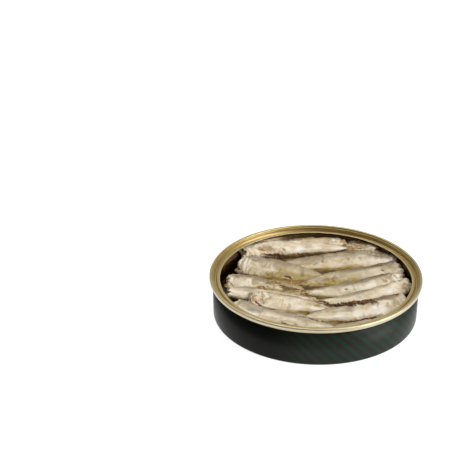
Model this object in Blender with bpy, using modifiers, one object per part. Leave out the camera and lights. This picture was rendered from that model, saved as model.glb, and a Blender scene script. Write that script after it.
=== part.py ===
"""Open round sardine tin: a drawn steel can with its folded rim, oil, and one layer of small headless sardines.

Metres, +Z up. The origin is the middle of the base, on the surface that the tin stands on.
-Y is the side that faces the viewer. The fish lie across the tin in two groups whose tails meet near the middle.
"""

import math

import bmesh
import bpy
from mathutils import Vector

MM = 0.001

# Tin
RIM_RADIUS = 65.0 * MM
HEIGHT = 26.7 * MM
SHEET = 0.3 * MM
CLEARANCE = 0.35 * MM
WALL_RADIUS_LOW = 62.2 * MM
WALL_RADIUS_HIGH = 63.0 * MM
WALL_TOP = 25.5 * MM
CORNER_RADIUS = 1.8 * MM
PANEL_RADIUS = 56.0 * MM
FOOT_RADIUS = 57.2 * MM
PANEL_RISE = 0.6 * MM
SEAM_SKIRT = 23.9 * MM
SEAM_BEND = 1.0 * MM
SEAM_INNER_RADIUS = 62.9 * MM
HOOK_TOP = 25.8 * MM
GROOVE_RADIUS = 61.3 * MM
GROOVE_DEPTH = 3.2 * MM
LIP_RADIUS = 58.5 * MM
LIP_OUTER_RADIUS = 60.3 * MM
LIP_TOP = 24.45 * MM
GROOVE_SLOPE = 0.45 * MM
INNER_BEND = 0.8 * SEAM_BEND
SKIRT_CHAMFER = 0.35 * MM
TURN_STEPS = 60

# Contents
OIL_LEVEL = 16.4 * MM
OIL_BEVEL = 1.4 * MM
FISH_RINGS = 14
FISH_SIDES = 12
END_CROWDING = 0.12
CUTTER_GROWTH = 0.42 * MM
CUT_END_SHARE = 0.8
FRONT_REACH = 0.25
ROUNDED_END = 0.45
END_FLAT_SHARE = 0.25
TAPER_START = 0.5
TAPER_POWER = 1.8
TAIL_SHARE = 0.17
SQUARENESS = 2.7
BACK_THICKER = 0.12
WAVE_SHARE = 0.04
WAVE_COUNT = 1.7
WAVE_SHIFT = 0.37

# The fish, those that lie on top first. Each has its middle line in plan from the cut end to the tail,
# half its width and half its thickness, the height of its crest at the cut end and at the tail,
# and how far it leans back, in degrees. All lengths are in millimetres.
FISH = {
    "fish_02": ([(-46, 38.0), (-31, 44.4), (-8, 47.0), (19, 45.6)], 7.2, 4.3, (22.3, 21.8), 6),
    "fish_01": ([(18, 53.6), (-6, 55.9), (-30, 50.6)], 4.8, 4.1, (21.6, 19.6), 4),
    "fish_03": ([(38.5, 46.9), (29, 51.2), (17, 54.6), (6, 55.5)], 6.4, 4.0, (22.0, 19.0), -4),
    "fish_04": ([(49, 32.0), (32, 37.0), (8, 33.6), (-24, 28.2)], 10.6, 5.3, (21.0, 18.0), 8),
    "fish_11": ([(-39.5, -18.6), (-27, -18.8), (-10, -20.2), (11, -25.2)], 9.4, 5.4, (21.3, 18.6), 4),
    "fish_12": ([(55, -14.0), (38, -22.4), (18, -28.2), (-6, -34.6)], 10.4, 5.5, (21.3, 18.6), 5),
    "fish_06": ([(52, 25.0), (33, 18.6), (12, 12.4), (-10, 5.8)], 9.0, 5.2, (21.0, 17.8), 7),
    "fish_08": ([(52.5, 13.2), (34, 5.6), (15, -2.0), (-7, -4.8)], 7.6, 4.9, (21.0, 17.8), 5),
    "fish_10": ([(57.2, 6.6), (41, -3.2), (21, -11.6), (0, -16.4)], 7.2, 4.9, (21.2, 17.6), 3),
    "fish_05": ([(-47, 26.6), (-31, 23.0), (-12, 18.6), (6, 14.4)], 10.4, 5.4, (20.6, 17.8), 9),
    "fish_13": ([(-49, -26.5), (-34, -33.2), (-12, -39.4), (15, -46.4)], 9.0, 5.3, (20.9, 18.4), 3),
    "fish_09": ([(-53, -8.6), (-36, -9.4), (-19, -10.8), (-1, -12.2)], 5.8, 3.8, (20.2, 17.8), 2),
    "fish_14": ([(44, -34.0), (28, -44.4), (8, -51.2), (-14, -54.0)], 7.2, 4.7, (19.9, 18.4), -5),
    "fish_07": ([(-54, 6.6), (-36, 3.6), (-20, 0.4), (-3, -1.2)], 9.2, 4.6, (19.0, 16.9), 4),
}


def new_collection(name):
    collection = bpy.data.collections.new(name)
    bpy.context.scene.collection.children.link(collection)
    return collection


def new_material(name, colour, roughness, metallic):
    material = bpy.data.materials.new(name)
    material.use_nodes = True
    shader = material.node_tree.nodes["Principled BSDF"]
    shader.inputs["Base Color"].default_value = (*colour, 1.0)
    shader.inputs["Roughness"].default_value = roughness
    shader.inputs["Metallic"].default_value = metallic
    return material


def arc(centre, radius, start, end, steps):
    """Points of a profile along an arc, from one angle in degrees to another."""
    points = []
    for i in range(steps + 1):
        angle = math.radians(start + (end - start) * i / steps)
        points.append((centre[0] + radius * math.cos(angle), centre[1] + radius * math.sin(angle)))
    return points


def turned(name, profile, closed, material, collection):
    """A solid of revolution about Z. The profile runs down its outer side."""
    mesh = bpy.data.meshes.new(name)
    edges = [(i, i + 1) for i in range(len(profile) - 1)]
    if closed:
        edges.append((len(profile) - 1, 0))
    mesh.from_pydata([(r, 0.0, z) for r, z in profile], edges, [])
    obj = bpy.data.objects.new(name, mesh)
    collection.objects.link(obj)
    obj.data.materials.append(material)
    turn = obj.modifiers.new("turn", "SCREW")
    turn.axis = "Z"
    turn.angle = math.tau
    turn.steps = TURN_STEPS
    turn.render_steps = TURN_STEPS
    turn.use_merge_vertices = True
    turn.merge_threshold = 0.00001
    turn.use_smooth_shade = True
    return obj


def wall_radius(z):
    """The outer radius of the tin's wall, which widens a little towards the rim."""
    return WALL_RADIUS_LOW + (WALL_RADIUS_HIGH - WALL_RADIUS_LOW) * z / WALL_TOP


def build_can_body(material, collection):
    """The drawn can: recessed panel, flat foot, rounded corner and wall, up into the folded rim."""
    corner_outer = (WALL_RADIUS_LOW - CORNER_RADIUS, CORNER_RADIUS)
    inside = [(0.0, PANEL_RISE + SHEET), (PANEL_RADIUS, PANEL_RISE + SHEET), (FOOT_RADIUS, SHEET)]
    inside += arc(corner_outer, CORNER_RADIUS - SHEET, -90, 0, 3)
    inside.append((WALL_RADIUS_HIGH - SHEET, WALL_TOP))
    outside = [(WALL_RADIUS_HIGH, WALL_TOP)]
    outside += arc(corner_outer, CORNER_RADIUS, 0, -90, 3)
    outside += [(FOOT_RADIUS, 0.0), (PANEL_RADIUS, PANEL_RISE), (0.0, PANEL_RISE)]
    return turned("can_body", inside + outside, False, material, collection)


def build_seam_ring(material, collection):
    """The folded rim over the top of the wall, its inner groove, and the lip that the pulled lid leaves."""
    hook_inner = WALL_RADIUS_HIGH - SHEET - CLEARANCE
    hook_outer = WALL_RADIUS_HIGH + CLEARANCE
    groove_bottom = HEIGHT - GROOVE_DEPTH
    inner_bend = (SEAM_INNER_RADIUS + INNER_BEND, HEIGHT - INNER_BEND)
    outer_bend = (RIM_RADIUS - SEAM_BEND, HEIGHT - SEAM_BEND)
    top = [(LIP_RADIUS, LIP_TOP - SHEET), (LIP_RADIUS, LIP_TOP), (LIP_OUTER_RADIUS, LIP_TOP)]
    top += [(GROOVE_RADIUS - GROOVE_SLOPE, groove_bottom + SHEET / 2), (GROOVE_RADIUS, groove_bottom)]
    top += [(GROOVE_RADIUS + GROOVE_SLOPE, groove_bottom + SHEET)]
    top += arc(inner_bend, INNER_BEND, 180, 90, 2)
    top += arc(outer_bend, SEAM_BEND, 90, 0, 3)
    top += [(RIM_RADIUS, SEAM_SKIRT + SKIRT_CHAMFER), (RIM_RADIUS - SKIRT_CHAMFER, SEAM_SKIRT)]
    under = [(hook_outer, SEAM_SKIRT), (hook_outer, HOOK_TOP), (hook_inner, HOOK_TOP)]
    under += [(hook_inner - SHEET / 2, groove_bottom), (GROOVE_RADIUS, groove_bottom - SHEET)]
    under += [(GROOVE_RADIUS - SHEET - GROOVE_SLOPE, groove_bottom)]
    under += [(LIP_OUTER_RADIUS - SHEET / 2, LIP_TOP - SHEET)]
    return turned("seam_ring", top + under, True, material, collection)


def smooth_step(t):
    t = min(max(t, 0.0), 1.0)
    return t * t * (3.0 - 2.0 * t)


def spline_point(knots, u):
    """A point at share u along a smooth curve through the plan knots, with its direction."""
    spans = len(knots) - 1
    span = min(int(u * spans), spans - 1)
    t = u * spans - span
    k = [knots[max(min(i, spans), 0)] for i in (span - 1, span, span + 1, span + 2)]
    point = []
    slope = []
    for axis in (0, 1):
        a, b, c, d = (knot[axis] * MM for knot in k)
        point.append(
            0.5 * (2 * b + (c - a) * t + (2 * a - 5 * b + 4 * c - d) * t**2 + (3 * b - a - 3 * c + d) * t**3)
        )
        slope.append(
            0.5 * ((c - a) + 2 * (2 * a - 5 * b + 4 * c - d) * t + 3 * (3 * b - a - 3 * c + d) * t**2)
        )
    return Vector(point), Vector(slope).normalized()


def body_share(u):
    """How thick a fish is at share u of its length, against its thickest place."""
    front = CUT_END_SHARE + (1.0 - CUT_END_SHARE) * smooth_step(u / FRONT_REACH)
    taper = max(u - TAPER_START, 0.0) / (1.0 - TAPER_START)
    rear = 1.0 - (1.0 - TAIL_SHARE) * taper**TAPER_POWER
    return front * rear


def end_share(u, length, depth):
    """Rounds off both ends, down to a flat of END_FLAT_SHARE."""
    reach = min(min(u, 1.0 - u) * length / (ROUNDED_END * depth), 1.0)
    return END_FLAT_SHARE + (1.0 - END_FLAT_SHARE) * math.sqrt(1.0 - (1.0 - reach) ** 2)


def ring_share(i):
    """Where ring i lies along a fish, 0 to 1, closer together near the ends."""
    span = math.pi * (1.0 - 2.0 * END_CROWDING)
    start = math.cos(math.pi * END_CROWDING)
    return 0.5 - 0.5 * math.cos(math.pi * END_CROWDING + span * i / (FISH_RINGS - 1)) / start


def signed_power(value, power):
    return math.copysign(abs(value) ** power, value)


def build_fish(name, spec, growth, material, collection):
    """A headless fish lofted along its middle line: oval sections, thick at the cut end, thin at the tail."""
    knots, half_width, half_depth, crests, lean = spec
    half_width *= MM
    half_depth *= MM
    length = sum((Vector(b) - Vector(a)).length for a, b in zip(knots, knots[1:])) * MM
    phase = WAVE_SHIFT * knots[0][0]
    lean = math.radians(lean)
    bm = bmesh.new()
    loops = []
    for i in range(FISH_RINGS):
        u = ring_share(i)
        point, along = spline_point(knots, u)
        side = Vector((-along.y, along.x))
        if side.y < 0.0:
            side = -side
        wave = 1.0 + WAVE_SHARE * math.sin(math.tau * WAVE_COUNT * u + phase)
        scale = body_share(u) * end_share(u, length, half_depth)
        width = half_width * scale * wave + growth
        depth = half_depth * scale + growth
        crest = (crests[0] + (crests[1] - crests[0]) * smooth_step(u)) * MM
        centre_z = crest - half_depth * body_share(u)
        overshoot = {0: -growth, FISH_RINGS - 1: growth}.get(i, 0.0)
        loop = []
        for j in range(FISH_SIDES):
            angle = math.tau * j / FISH_SIDES
            across = width * signed_power(math.cos(angle), 2.0 / SQUARENESS)
            up = depth * signed_power(math.sin(angle), 2.0 / SQUARENESS)
            up *= 1.0 + BACK_THICKER * math.cos(angle)
            leaned_across = across * math.cos(lean) - up * math.sin(lean)
            leaned_up = across * math.sin(lean) + up * math.cos(lean)
            plan = point + along * overshoot + side * leaned_across
            loop.append(bm.verts.new((plan.x, plan.y, centre_z + leaned_up)))
        loops.append(loop)
    for first, second in zip(loops, loops[1:]):
        for j in range(FISH_SIDES):
            k = (j + 1) % FISH_SIDES
            bm.faces.new((first[j], first[k], second[k], second[j]))
    bm.faces.new(loops[0])
    bm.faces.new(loops[-1])
    bmesh.ops.recalc_face_normals(bm, faces=bm.faces)
    mesh = bpy.data.meshes.new(name)
    bm.to_mesh(mesh)
    bm.free()
    mesh.shade_smooth()
    obj = bpy.data.objects.new(name, mesh)
    collection.objects.link(obj)
    obj.data.materials.append(material)
    return obj


def spans_overlap(first, second):
    """Whether the boxes of two objects overlap in plan."""
    for axis in (0, 1):
        a = [corner[axis] for corner in first.bound_box]
        b = [corner[axis] for corner in second.bound_box]
        if max(a) < min(b) or max(b) < min(a):
            return False
    return True


def cut_away(obj, cutter, solver):
    cut = obj.modifiers.new("clear_of_" + cutter.name, "BOOLEAN")
    cut.operation = "DIFFERENCE"
    cut.solver = solver
    cut.object = cutter


def keep_within(obj, space):
    """Presses a fish flat against the wall where it would pass through."""
    keep = obj.modifiers.new("inside_" + space.name, "BOOLEAN")
    keep.operation = "INTERSECT"
    keep.solver = "EXACT"
    keep.object = space


def build_all_fish(material, collection, cutters):
    """Every fish, each one inside the tin and cut clear of those that lie on it."""
    low_radius = wall_radius(0.0) - SHEET - CLEARANCE
    high_radius = wall_radius(SEAM_SKIRT) - SHEET - CLEARANCE
    space = [(0.0, SEAM_SKIRT), (high_radius, SEAM_SKIRT), (low_radius, SHEET), (0.0, SHEET)]
    well = turned("well", space, False, material, cutters)
    well.hide_render = True
    well.display_type = "WIRE"
    grown = []
    for name, spec in FISH.items():
        fish = build_fish(name, spec, 0.0, material, collection)
        bpy.context.view_layer.update()
        if max(Vector(corner[:2]).length for corner in fish.bound_box) > low_radius:
            keep_within(fish, well)
        for cutter in grown:
            if spans_overlap(fish, cutter):
                cut_away(fish, cutter, "EXACT")
        cutter = build_fish(name + "_grown", spec, CUTTER_GROWTH, material, cutters)
        cutter.hide_render = True
        cutter.display_type = "WIRE"
        bpy.context.view_layer.update()
        grown.append(cutter)
    return grown


def build_oil(material, collection, grown_fish):
    """The oil, from the base up to its level, with a trough round each fish."""
    foot = PANEL_RISE + SHEET + CLEARANCE
    top_radius = wall_radius(OIL_LEVEL) - SHEET - CLEARANCE
    low_radius = wall_radius(foot) - SHEET - CLEARANCE
    profile = [(0.0, OIL_LEVEL), (top_radius, OIL_LEVEL), (low_radius, foot + OIL_BEVEL)]
    profile += [(low_radius - OIL_BEVEL, foot), (0.0, foot)]
    oil = turned("oil", profile, False, material, collection)
    for cutter in grown_fish:
        cut_away(oil, cutter, "MANIFOLD")
    return oil


def main():
    for obj in list(bpy.data.objects):
        bpy.data.objects.remove(obj)
    tin = new_collection("sardine_tin")
    cutters = new_collection("cutters")
    green_lacquer = new_material("green_lacquer", (0.022, 0.032, 0.024), 0.35, 0.0)
    gold_lacquer = new_material("gold_lacquer", (0.62, 0.48, 0.24), 0.3, 1.0)
    oil_gold = new_material("oil_gold", (0.42, 0.27, 0.06), 0.08, 0.0)
    fish_skin = new_material("fish_skin", (0.68, 0.58, 0.42), 0.4, 0.0)
    build_can_body(green_lacquer, tin)
    build_seam_ring(gold_lacquer, tin)
    grown_fish = build_all_fish(fish_skin, tin, cutters)
    build_oil(oil_gold, tin, grown_fish)


main()
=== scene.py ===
"""Looks of the open sardine tin: lacquered can, gold folded rim, oil and the layer of small headless fish.

Metres, in the frame's own axes. The fish have the middle lines and sizes of the solids that they replace.
"""

import math
from collections import namedtuple
from itertools import product

import bmesh
import bpy
import numpy as np
from mathutils import Matrix, Vector


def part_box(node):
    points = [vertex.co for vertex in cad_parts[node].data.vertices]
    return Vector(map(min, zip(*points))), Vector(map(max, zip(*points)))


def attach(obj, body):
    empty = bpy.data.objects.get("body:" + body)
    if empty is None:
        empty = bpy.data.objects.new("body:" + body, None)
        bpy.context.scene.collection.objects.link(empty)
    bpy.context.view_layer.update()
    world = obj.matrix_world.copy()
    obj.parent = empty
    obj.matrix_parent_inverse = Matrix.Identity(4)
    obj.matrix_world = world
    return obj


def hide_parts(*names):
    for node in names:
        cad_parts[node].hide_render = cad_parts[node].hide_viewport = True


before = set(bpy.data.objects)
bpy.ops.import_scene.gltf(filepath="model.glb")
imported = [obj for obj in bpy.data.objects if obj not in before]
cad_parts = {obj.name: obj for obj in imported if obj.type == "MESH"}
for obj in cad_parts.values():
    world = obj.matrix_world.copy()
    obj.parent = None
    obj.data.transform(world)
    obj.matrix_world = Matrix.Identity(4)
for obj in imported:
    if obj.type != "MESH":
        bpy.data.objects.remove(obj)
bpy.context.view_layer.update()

MM = 0.001
WHITE = (1.0, 1.0, 1.0, 1.0)

# Sizes that the frame gives
RIM_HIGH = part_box("seam_ring")[1]
BODY_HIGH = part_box("can_body")[1]
HEIGHT = RIM_HIGH.z
RIM_RADIUS = RIM_HIGH.x
OIL_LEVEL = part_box("oil")[1].z

# Tin
SHEET = 0.3 * MM
WALL_RADIUS_HIGH = BODY_HIGH.x
WALL_RADIUS_LOW = WALL_RADIUS_HIGH - 0.8 * MM
WALL_TOP = BODY_HIGH.z
CORNER_RADIUS = 1.8 * MM
CORNER_CENTRE = (WALL_RADIUS_LOW - CORNER_RADIUS, CORNER_RADIUS)
FOOT_RADIUS = 57.2 * MM
PANEL_RADIUS = 56.0 * MM
PANEL_RISE = 0.6 * MM
PANEL_RING_RADIUS = 46.0 * MM
PANEL_RING_WIDTH = 0.8 * MM
PANEL_RING_DEPTH = 0.35 * MM
SEAM_SKIRT = 23.9 * MM
SEAM_BEND = 1.0 * MM
SEAM_INNER_BEND = 0.8 * MM
SEAM_INNER_RADIUS = 62.9 * MM
HOOK_TOP = 25.8 * MM
HOOK_RADIUS = 62.3 * MM
GROOVE_RADIUS = 61.3 * MM
GROOVE_OUTER_RADIUS = 62.1 * MM
GROOVE_BOTTOM = HEIGHT - 3.2 * MM
LIP_RADIUS = 58.5 * MM
LIP_OUTER_RADIUS = 60.3 * MM
LIP_TOP = 24.45 * MM
BEND_STEPS = 8
SMALL_BEND_STEPS = 6
TURN_STEPS = 240

# Wall: stripes round it, how fast they turn with the height, and the angle towards which the lacquer is
# painted darker and unstriped, as painted shade.
# Rim: rolling lines in a metre.
STRIPES = 58.0
STRIPE_LEAN = 1.0 / (62.6 * MM)
SHADED_ANGLE = -2.4
RIM_LINES = 3000.0

# Camera, from the photograph's outlines. Pixels are of its 450 x 450 frame.
FRAME_PIXELS = 450.0
SENSOR = 36.0
FOCAL_PIXELS = 3200.0
CAMERA_DISTANCE = 1.9627
CAMERA_ELEVATION = math.radians(30.21)
CAMERA_ROLL = math.radians(1.72)
BASE_PIXEL_X = 314.9
BASE_PIXEL_Y = 313.38

# Lights: place, width and height, and watts. The surroundings are brighter towards BRIGHT_SIDE.
LIGHTS = {
    "softbox_key": ((0.85, -0.3, 0.95), (0.8, 0.8), 11.2),
    "softbox_rear": ((-0.15, 0.5, 1.1), (0.6, 0.5), 5.0),
    "softbox_right": ((1.3, -0.4, 0.25), (0.8, 0.5), 6.0),
    "softbox_left": ((-0.9, 0.25, 0.9), (0.5, 0.5), 1.4),
}
LIGHT_TARGET = Vector((0.0, 0.0, 0.015))
BRIGHT_SIDE = (0.6, 0.8, 0.0)

# Fish: middle line in plan from cut end to tail, half width, half thickness, crest heights, lean in degrees,
# how golden the fish is, and the angle round it to which its grey back reaches. Lengths are in millimetres.
Fish = namedtuple("Fish", "knots half_width half_depth crests lean golden back")
FISH = {
    "02": ([(-46, 38), (-31, 44.4), (-8, 47), (19, 45.6)], 7.2, 4.3, (22.3, 21.8), 6, 0, 1.35),
    "01": ([(18, 53.6), (-6, 55.9), (-30, 50.6)], 4.8, 4.1, (21.6, 19.6), 4, 0.6, 1.4),
    "03": ([(38.5, 46.9), (29, 51.2), (17, 54.6), (6, 55.5)], 6.4, 4, (22, 19), -4, 0.2, 1.25),
    "04": ([(49, 32), (32, 37), (8, 33.6), (-24, 28.2)], 10.6, 5.3, (21, 18), 8, 0.4, 1.66),
    "11": ([(-39.5, -18.6), (-27, -18.8), (-10, -20.2), (11, -25.2)], 9.4, 5.4, (21.3, 18.6), 4, 0.1, 1.35),
    "12": ([(55, -14), (38, -22.4), (18, -28.2), (-6, -34.6)], 10.4, 5.5, (21.3, 18.6), 5, 0.15, 1.66),
    "06": ([(52, 25), (33, 18.6), (12, 12.4), (-10, 5.8)], 9, 5.2, (21, 17.8), 7, 0.8, 1.6),
    "08": ([(52.5, 13.2), (34, 5.6), (15, -2), (-7, -4.8)], 7.6, 4.9, (21, 17.8), 5, 0.25, 1.6),
    "10": ([(57.2, 6.6), (41, -3.2), (21, -11.6), (0, -16.4)], 7.2, 4.9, (21.2, 17.6), 3, 0, 1.5),
    "05": ([(-47, 26.6), (-31, 23), (-12, 18.6), (6, 14.4)], 10.4, 5.4, (20.6, 17.8), 9, 1, 1.6),
    "13": ([(-49, -26.5), (-34, -33.2), (-12, -39.4), (15, -46.4)], 9, 5.3, (20.9, 18.4), 3, 0.25, 1.82),
    "09": ([(-53, -8.6), (-36, -9.4), (-19, -10.8), (-1, -12.2)], 5.8, 3.8, (20.2, 17.8), 2, 0.3, 1.5),
    "14": ([(44, -34), (28, -44.4), (8, -51.2), (-14, -54)], 7.2, 4.7, (19.9, 18.4), -5, 0.4, 1.7),
    "07": ([(-54, 6.6), (-36, 3.6), (-20, 0.4), (-3, -1.2)], 9.2, 4.6, (19, 16.9), 4, 1, 1.5),
}
PLUMP = 0.8
CUT_END_SHARE = 0.8
TAPER_START = 0.5
TAPER_POWER = 1.8
TAIL_SHARE = 0.17
TAIL_POINT = 7.0
SQUARENESS = 2.7
BACK_THICKER = 0.12
WAVE_SHARE = 0.04
WAVE_COUNT = 1.7
CUT_ROUNDING = 2.0
CUT_RAGGED = 2.0
CUT_RAGGED_LENGTH = 5.0
CRUMPLED_LENGTH = 21.0
TOOTH_LENGTH = 1.25

# Points of a fish: rings, points round a ring with more of them where it shows, and loops that close an end
RINGS = 240
RING_CROWDING = 0.06
SIDES = 100
SHOWN_ANGLE = 2.2
SHOWN_CROWDING = 0.45
CAP_RINGS = 9
CUT_GUT_RINGS = 2
OFFSET_STEP = 0.003

# Angles round a fish over its top: the back's fold, the crest that catches the light, the belly's ragged edge
# and the middle of the underside
FOLD_ANGLE = 0.95
LIT_ANGLE = 1.95
BELLY_ANGLE = 3.1
UNDER_ANGLE = 4.9

# How far what is in the tin stays from its wall
FISH_GAP = 0.8 * MM
SKIN_GAP = 0.15 * MM
BIT_GAP = 0.4 * MM

# Gaps: a plan grid of the fish's heights, and the brown residue, which stays below the fish around it
MAP_REACH = 64.0 * MM
MAP_CELL = 0.5 * MM
RESIDUE_REACH = 49.0 * MM
RESIDUE_DROP = 2.0 * MM
RESIDUE_DEPTH = 0.8 * MM

# Loose bits: colours as a screen shows them, darker and lighter, and how fine the mottle is
BIT_COLOURS = {
    "gut_brown": ((44, 26, 12), (112, 72, 36), 700.0),
    "gut_rust": ((88, 54, 24), (154, 106, 56), 700.0),
    "flesh_tan": ((162, 130, 90), (202, 178, 136), 700.0),
    "flesh_cream": ((186, 162, 124), (226, 208, 178), 700.0),
    "skin_amber": ((128, 92, 36), (188, 154, 92), 700.0),
    "skin_grey": ((128, 112, 98), (196, 184, 166), 700.0),
    "skin_olive": ((84, 60, 26), (140, 108, 58), 700.0),
    "residue_brown": ((74, 54, 20), (142, 114, 60), 160.0),
}

# Heaps of small lumps: piece, colour, line in plan, how many, spread across it and sizes in millimetres, seed
MIDDLE_GAP = [(10.5, -21.4), (17, -21.6), (25, -20.6), (31, -19), (36, -17.6)]
FRONT_GAP = [(19, -39.6), (26, -38.8), (32, -37.4), (37, -35.6)]
HEAPS = [
    ("gut_middle", "gut_brown", MIDDLE_GAP, 190, 1.2, (0.5, 1.1), 11),
    ("rust_middle", "gut_rust", [(23, -20.8), (29, -19.6), (36, -18)], 60, 0.8, (0.5, 1.1), 14),
    ("tan_middle", "flesh_tan", MIDDLE_GAP, 34, 1.1, (0.3, 0.7), 12),
    ("gut_front", "gut_brown", FRONT_GAP, 46, 0.35, (0.3, 0.8), 13),
    ("rust_front", "gut_rust", [(31, -37.4), (37, -35.4)], 18, 0.4, (0.4, 0.9), 15),
    ("flesh_bits", "flesh_tan", [(-12.5, -6.2), (-8.6, -4.9), (-5, -3.6)], 12, 0.8, (0.5, 1), 16),
    ("gut_right", "gut_rust", [(48, -11.2), (52.4, -10.4)], 12, 0.6, (0.4, 0.9), 19),
    ("torn_front", "gut_rust", [(-19.5, -46.8), (-11.5, -50.2)], 16, 0.3, (0.3, 0.6), 20),
]
LUMP_STRETCH = np.array((1.6, 0.7, 0.5))
LUMP_RAGGED = 0.45
FIN_RAY = [(-19.7, 14.2), (-16.6, 13.6), (-14.8, 11.0), (-15.4, 7.6)]
FIN_RAY_RADIUS = 0.35
FIN_RAY_LIFT = 0.6

# Marks on the fish: kind, where in plan, half length, half width (all in millimetres) and turn in degrees.
# torn is skin gone down to the flesh, slit is a narrow opening, gut is dark brown, gold is an oil stain and
# pale is uncovered silvery skin, painted paler as a painted highlight.
MARKS = [
    ("torn", -31.5, 41, 6, 4, 12),
    ("torn", -24, 40, 5.5, 2.2, 10),
    ("gut", -29, 37.4, 6, 0.5, 6),
    ("gold", -17, 37.5, 9, 2.2, 4),
    ("torn", 17.6, 54, 3, 4.4, 0),
    ("torn", 22.5, 50, 4.6, 3.6, 10),
    ("torn", 30, 47.8, 4.2, 1.8, -15),
    ("slit", 3.4, 35.4, 0.9, 4.8, 8),
    ("gold", 5, 24.5, 5, 2.6, 8),
    ("gold", -10, 14, 9, 4.2, -12),
    ("gold", -27, 15, 9, 5, -10),
    ("torn", -35, -21, 5, 3, -60),
    ("gut", -34.8, -23.6, 2.6, 0.7, -40),
    ("gut", -33, -26, 3.2, 0.9, -44),
    ("gold", 4, 7.2, 21, 7.4, 20),
    ("gold", -6, 30, 13, 4, 10),
    ("gold", 2, -22.6, 9, 3, -16),
    ("gold", -20, 9, 12, 4, -14),
    ("gut", -16, -0.6, 5, 1.6, -6),
    ("torn", -7, -4.2, 4.2, 2.2, 0),
    ("torn", -16, -44.6, 5.4, 2, -16),
    ("gut", -18, -44.2, 2.4, 0.9, -20),
    ("gut", -13.4, -45.8, 3, 0.8, -20),
    ("gut", -8, -37, 3.2, 0.5, 4),
    ("gut", -25.6, -30.6, 2.4, 0.7, -12),
    ("gut", -12.4, -32.8, 4.6, 0.7, -8),
    ("slit", -32.6, -35, 0.3, 5.5, -20),
    ("pale", -27.8, 18.8, 6, 2.6, -6),
    ("pale", 4.6, 13.6, 8, 0.7, 18),
    ("pale", -26, -37.4, 12, 2.4, -12),
    ("pale", -13.6, -40.6, 5.4, 2, -12),
    ("pale", 1.6, -45.2, 4, 1.8, -16),
    ("pale", 0.8, -4, 7, 1.2, 6),
    ("pale", 41, -19, 6, 2.8, 22),
    ("pale", 38, 33.4, 9, 3, -8),
    ("gut", 31, -37.6, 5.6, 1.1, 14),
    ("gut", 24, -17.6, 12.5, 1.7, 8),
    ("gut", 7.5, -18.6, 4, 1.3, -6),
    ("torn", 49, -9.5, 3.2, 1.6, 30),
    ("torn", 55, 0.8, 3.2, 2.8, 30),
    ("gut", 4.8, -20.5, 5.2, 0.6, -24),
    ("gut", 4.6, -41.2, 10, 0.9, -22),
    ("gut", 52, -8, 2, 1.2, 30),
    ("gut", 18.4, -1.8, 1, 0.7, 0),
    ("gut", 46, 30.6, 3, 1, 10),
    ("gut", 34, 26.4, 9, 0.8, 12),
    ("gut", 41, 20.2, 0.8, 0.7, 0),
]

# Flakes of skin and flesh that lie on the fish, by piece and colour: place in plan, half length, half width,
# turn in degrees and thickness. Lengths are in millimetres.
FLAKES = {
    ("flakes_amber", "skin_amber"): [
        (-32.4, -1.6, 3.4, 2, -10, 0.7),
        (-23.5, 5.6, 5.2, 1.3, -16, 0.5),
        (-16, 7.4, 4.6, 1.8, -12, 0.6),
        (-8.6, 6.6, 3.8, 1.5, 14, 0.5),
        (-28.5, 3.4, 3, 1.2, -8, 0.5),
        (-4.4, -1.4, 3.8, 1.7, 6, 0.6),
    ],
    ("flakes_cream", "flesh_cream"): [
        (-25.6, -0.8, 3.4, 1.8, -8, 1),
        (-22.6, -1.9, 2.4, 1.1, 12, 0.9),
        (-28.2, 0.4, 2, 1.1, -22, 0.7),
        (-33.2, 0.4, 1.7, 0.6, 20, 0.6),
        (33.4, 48.4, 3.2, 1.7, 8, 0.9),
        (37, 48, 2.2, 1.5, -20, 0.8),
        (22.6, 55.4, 3, 1.5, 4, 0.9),
        (27.2, 54, 2.6, 1.3, -22, 0.8),
        (3.1, -40, 1.6, 0.9, 60, 0.8),
        (-4.4, -43.6, 1.7, 0.6, 78, 0.6),
    ],
    ("flakes_dark", "skin_olive"): [
        (-17.4, -1.4, 4.6, 1.7, -6, 0.5),
        (-20.4, 2, 2.2, 0.8, -10, 0.6),
        (-12.6, -1, 2.6, 1.3, 4, 0.5),
        (-30.2, -6.6, 1.3, 0.6, 0, 0.4),
        (35, 24, 6.5, 1.1, 12, 0.3),
        (4, -15.2, 5.6, 0.8, -22, 0.4),
    ],
    ("flakes_tan", "flesh_tan"): [
        (16.4, 54, 2.3, 2.3, 0, 0.6),
        (21.4, 49.4, 3.8, 2, 0, 0.8),
        (27.2, 48.2, 3.4, 1.8, -6, 0.8),
        (25, 51.2, 3, 1.1, 8, 0.7),
        (-10.6, -6, 1.7, 0.9, 10, 0.8),
        (-7, -4.4, 1.9, 0.9, 26, 0.8),
        (-5.2, -2.8, 1.2, 0.8, 0, 0.7),
        (-33, 40.4, 3.2, 1.1, -25, 0.4),
        (37.4, 38.4, 2, 0.9, 0, 0.5),
        (0.8, -12.6, 4.2, 1.8, -8, 0.6),
        (-2.4, -10.2, 3.4, 1.5, -10, 0.6),
    ],
    ("flakes_grey", "skin_grey"): [
        (12.4, 56.6, 2.6, 1, 0, 0.5),
        (31, 52.6, 2.4, 1, -24, 0.6),
    ],
}


def srgb(red, green, blue):
    """A colour given as a screen shows it, 0 to 255, as Blender's linear values."""
    shares = [value / 255.0 for value in (red, green, blue)]
    return (*(s / 12.92 if s <= 0.04045 else ((s + 0.055) / 1.055) ** 2.4 for s in shares), 1.0)


# Materials


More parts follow.
